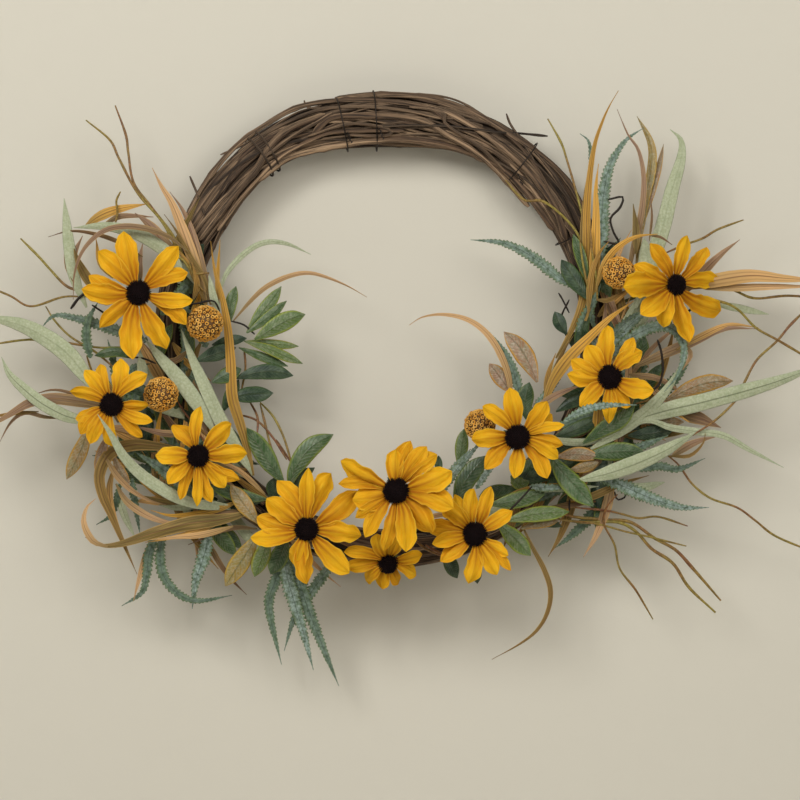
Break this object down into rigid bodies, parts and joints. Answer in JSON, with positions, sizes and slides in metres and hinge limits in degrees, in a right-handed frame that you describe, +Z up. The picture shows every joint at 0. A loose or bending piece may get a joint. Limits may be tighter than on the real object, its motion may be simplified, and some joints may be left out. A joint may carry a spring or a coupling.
{
  "type": "harvest door wreath",
  "caption": "Round grapevine door wreath dressed over its lower half with silk sunflower-like blooms, golden ball heads, grass blades, leaves and wavy tendrils.",
  "frame": {"origin": "the point under the top of the ring where a door hook holds it, in the middle of the ring's depth", "axes": "+X to the right as seen from the front and the longest extent, -Y out from the door towards the viewer, +Z up"},
  "size_m": [0.6187, 0.1137, 0.4457],
  "materials": {
    "grapevine": "dry weathered grapevine, grey-brown bark with tan ridges and dark splits",
    "wire": "dark annealed binding wire",
    "stem": "matte olive plastic over a wire core",
    "petal": "golden yellow silk with an orange-brown base, heat-pressed creases",
    "flower_cone": "near-black flocked foam",
    "ball_florets": "golden brown beaded florets with dark gaps",
    "tendrils": "matte olive to rust plastic",
    "serrated_leaves": "matte blue-green with a pale frost",
    "grass_blades": "ribbed printed fabric, olive to ochre and tan",
    "green_leaves": "satin green with a yellow-green rim and pale veins",
    "sage_blades": "matte pale sage fabric, finely mottled"
  },
  "bodies": {
    "wreath": {"core_vine": "grapevine", "vine_1": "grapevine", "vine_2": "grapevine", "vine_3": "grapevine", "vine_4": "grapevine", "vine_5": "grapevine", "vine_6": "grapevine", "vine_7": "grapevine", "vine_8": "grapevine", "vine_9": "grapevine", "vine_wrap": "grapevine", "tie_wire_1": "wire", "tie_wire_2": "wire", "tie_wire_3": "wire", "tie_wire_4": "wire", "stem_1": "stem", "stem_2": "stem", "stem_3": "stem", "stem_4": "stem", "stem_5": "stem", "stem_6": "stem", "stem_7": "stem", "stem_8": "stem", "stem_9": "stem", "stem_10": "stem", "ball_1": "ball_florets", "ball_2": "ball_florets", "ball_3": "ball_florets", "ball_4": "ball_florets", "left_tendrils": "tendrils", "left_serrated_leaves": "serrated_leaves", "left_grass_blades": "grass_blades", "left_green_leaves": "green_leaves", "left_sage_blades": "sage_blades", "right_tendrils": "tendrils", "right_serrated_leaves": "serrated_leaves", "right_grass_blades": "grass_blades", "right_green_leaves": "green_leaves", "right_sage_blades": "sage_blades"},
    "flower_head_1": {"petals_1": "petal", "cone_1": "flower_cone"},
    "flower_head_2": {"petals_2": "petal", "cone_2": "flower_cone"},
    "flower_head_3": {"petals_3": "petal", "cone_3": "flower_cone"},
    "flower_head_4": {"petals_4": "petal", "cone_4": "flower_cone"},
    "flower_head_5": {"petals_5": "petal", "cone_5": "flower_cone"},
    "flower_head_6": {"petals_6": "petal", "cone_6": "flower_cone"},
    "flower_head_7": {"petals_7": "petal", "cone_7": "flower_cone"},
    "flower_head_8": {"petals_8": "petal", "cone_8": "flower_cone"},
    "flower_head_9": {"petals_9": "petal", "cone_9": "flower_cone"},
    "flower_head_10": {"petals_10": "petal", "cone_10": "flower_cone"}
  },
  "joints": [
    {"name": "flower_1_nod", "type": "hinge", "parent": "wreath", "child": "flower_head_1", "pos_m": [-0.187, -0.0592, -0.10676], "axis": [1, 0, 0], "range_deg": [-10, 10]},
    {"name": "flower_2_nod", "type": "hinge", "parent": "wreath", "child": "flower_head_2", "pos_m": [-0.208, -0.0702, -0.18976], "axis": [1, 0, 0], "range_deg": [-10, 10]},
    {"name": "flower_3_nod", "type": "hinge", "parent": "wreath", "child": "flower_head_3", "pos_m": [-0.142, -0.0592, -0.22875], "axis": [1, 0, 0], "range_deg": [-10, 10]},
    {"name": "flower_4_nod", "type": "hinge", "parent": "wreath", "child": "flower_head_4", "pos_m": [-0.061, -0.0602, -0.28375], "axis": [1, 0, 0], "range_deg": [-10, 10]},
    {"name": "flower_5_nod", "type": "hinge", "parent": "wreath", "child": "flower_head_5", "pos_m": [0.006, -0.0792, -0.25476], "axis": [1, 0, 0], "range_deg": [-10, 10]},
    {"name": "flower_6_nod", "type": "hinge", "parent": "wreath", "child": "flower_head_6", "pos_m": [0, -0.04607, -0.305], "axis": [1, 0, 0], "range_deg": [-10, 10]},
    {"name": "flower_7_nod", "type": "hinge", "parent": "wreath", "child": "flower_head_7", "pos_m": [0.065, -0.0572, -0.28775], "axis": [1, 0, 0], "range_deg": [-10, 10]},
    {"name": "flower_8_nod", "type": "hinge", "parent": "wreath", "child": "flower_head_8", "pos_m": [0.097, -0.0682, -0.21476], "axis": [1, 0, 0], "range_deg": [-10, 10]},
    {"name": "flower_9_nod", "type": "hinge", "parent": "wreath", "child": "flower_head_9", "pos_m": [0.166, -0.0612, -0.16975], "axis": [1, 0, 0], "range_deg": [-10, 10]},
    {"name": "flower_10_nod", "type": "hinge", "parent": "wreath", "child": "flower_head_10", "pos_m": [0.21105, -0.05822, -0.10075], "axis": [0.788, 0.6157, 0], "range_deg": [-10, 10]}
  ]
}
